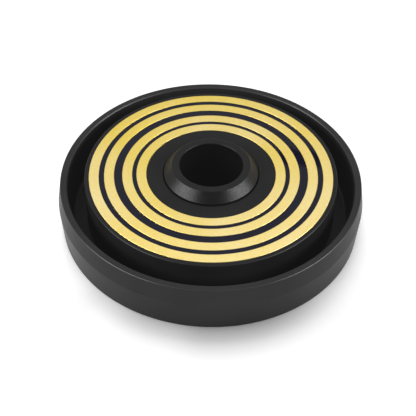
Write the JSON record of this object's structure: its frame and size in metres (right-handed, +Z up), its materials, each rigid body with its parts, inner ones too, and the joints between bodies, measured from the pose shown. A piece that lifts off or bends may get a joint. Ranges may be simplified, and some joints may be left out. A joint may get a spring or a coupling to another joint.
{
  "type": "banding wheel",
  "caption": "Low round turntable: a drum with flush concentric contact rings turns without limit on a ball bearing in a deep black dish housing with a bored hub.",
  "frame": {"origin": "on the spin axis, in the plane that the housing stands on", "axes": "+Z up along the spin axis, out of the bored hub; -Y is the side that faces the viewer"},
  "size_m": [0.1216, 0.1216, 0.0271],
  "materials": {
    "shell_plastic": "black moulded plastic, satin",
    "drum_plastic": "charcoal plastic, fine matte",
    "hub_plastic": "charcoal plastic, turned to a satin",
    "board_resin": "gloss blue-black resin",
    "ring_brass": "turned and lightly polished",
    "insert_brass": "turned",
    "bearing_steel": "ground",
    "black_steel": "black oxide",
    "cage_polymer": "natural polyamide",
    "solder_tin": "bright tin",
    "seal_rubber": "matte rubber",
    "block_plastic": "cream moulded plastic",
    "lead_red": "lead insulation",
    "lead_black": "lead insulation",
    "lead_green": "lead insulation",
    "lead_yellow": "lead insulation"
  },
  "bodies": {
    "housing": {"housing_dish": "shell_plastic", "mounting_insert_1": "insert_brass", "mounting_insert_2": "insert_brass", "mounting_insert_3": "insert_brass", "mounting_insert_4": "insert_brass", "bearing_cap": "black_steel", "cap_screw_1": "bearing_steel", "cap_screw_2": "bearing_steel", "cap_screw_3": "bearing_steel", "cap_screw_4": "bearing_steel", "bearing_outer_race": "bearing_steel", "bearing_shield_lower": "bearing_steel", "bearing_shield_upper": "bearing_steel"},
    "bearing_cage": {"bearing_cage": "cage_polymer", "bearing_ball_1": "bearing_steel", "bearing_ball_2": "bearing_steel", "bearing_ball_3": "bearing_steel", "bearing_ball_4": "bearing_steel", "bearing_ball_5": "bearing_steel", "bearing_ball_6": "bearing_steel", "bearing_ball_7": "bearing_steel", "bearing_ball_8": "bearing_steel", "bearing_ball_9": "bearing_steel", "bearing_ball_10": "bearing_steel", "bearing_ball_11": "bearing_steel", "bearing_ball_12": "bearing_steel"},
    "rotor": {"hub_sleeve": "hub_plastic", "bearing_inner_race": "bearing_steel", "hub_circlip": "black_steel", "wave_washer": "bearing_steel", "lead_grommet": "seal_rubber", "ring_drum": "drum_plastic", "drum_screw_1": "bearing_steel", "drum_screw_2": "bearing_steel", "drum_screw_3": "bearing_steel", "drum_screw_4": "bearing_steel", "ring_board": "board_resin", "contact_ring_1": "ring_brass", "contact_ring_2": "ring_brass", "contact_ring_3": "ring_brass", "contact_ring_4": "ring_brass", "ring_pin_1": "ring_brass", "ring_pin_2": "ring_brass", "ring_pin_3": "ring_brass", "ring_pin_4": "ring_brass", "solder_joint_1": "solder_tin", "solder_joint_2": "solder_tin", "solder_joint_3": "solder_tin", "solder_joint_4": "solder_tin", "terminal_block": "block_plastic", "terminal_screw": "bearing_steel", "ring_lead_1": "lead_red", "ring_lead_2": "lead_black", "ring_lead_3": "lead_green", "ring_lead_4": "lead_yellow"}
  },
  "joints": [
    {"name": "rotor_spin", "type": "hinge", "parent": "housing", "child": "rotor", "pos_m": [0, 0, 0], "axis": [0, 0, 1], "continuous": true},
    {"name": "cage_spin", "type": "hinge", "parent": "housing", "child": "bearing_cage", "pos_m": [0, 0, 0], "axis": [0, 0, 1], "continuous": true}
  ],
  "couplings": [
    {"joint": "cage_spin", "follows": "rotor_spin", "ratio": 0.4444}
  ]
}
